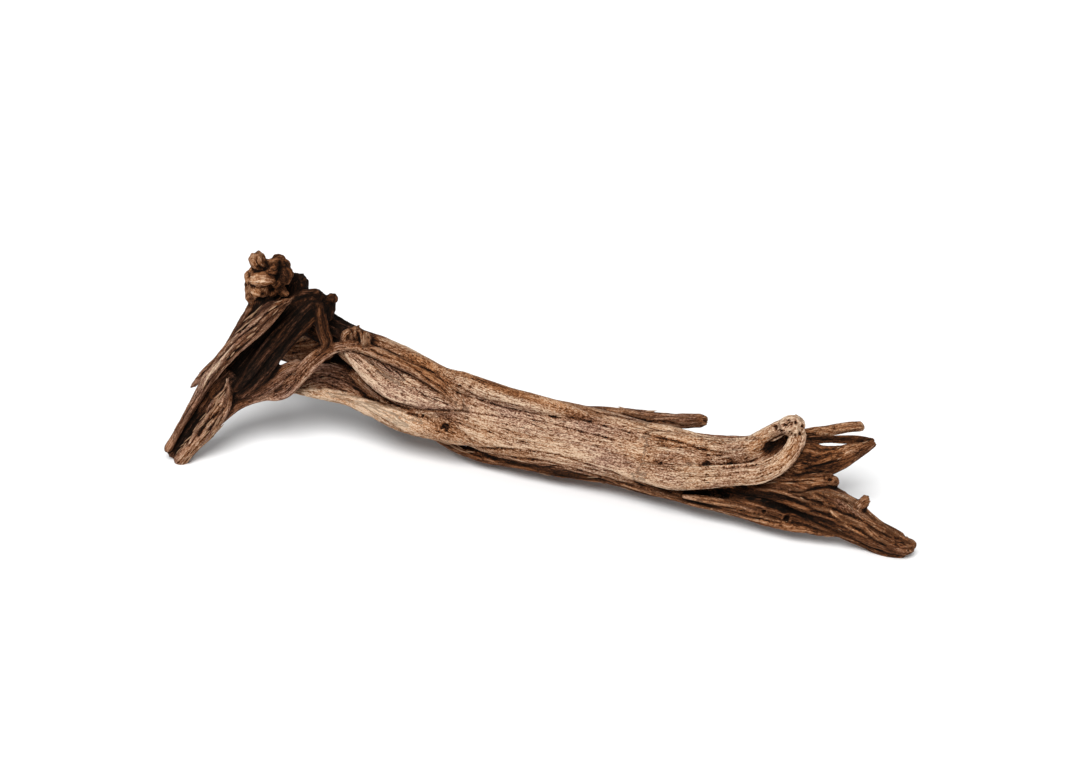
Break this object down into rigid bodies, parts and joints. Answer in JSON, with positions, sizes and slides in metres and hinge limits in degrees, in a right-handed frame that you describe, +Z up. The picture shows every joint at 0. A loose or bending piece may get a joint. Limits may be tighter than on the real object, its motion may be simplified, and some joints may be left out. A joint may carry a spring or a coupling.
{
  "type": "driftwood",
  "caption": "Weathered driftwood: a leaning trunk with a hollow, knobbed head at one end and a root that splits into prongs at the other, standing on three worn feet.",
  "frame": {"origin": "centre of the bounding box at floor level, under the three feet", "axes": "+X along the trunk from the knobbed head to the pronged root, +Y away from the viewer, +Z up"},
  "size_m": [0.4462, 0.1916, 0.1279],
  "materials": {
    "weathered_wood": "dry, cracked and matt, from tan on the trunk to dark brown in the hollows"
  },
  "bodies": {
    "root": {"driftwood": "weathered_wood"}
  },
  "joints": []
}
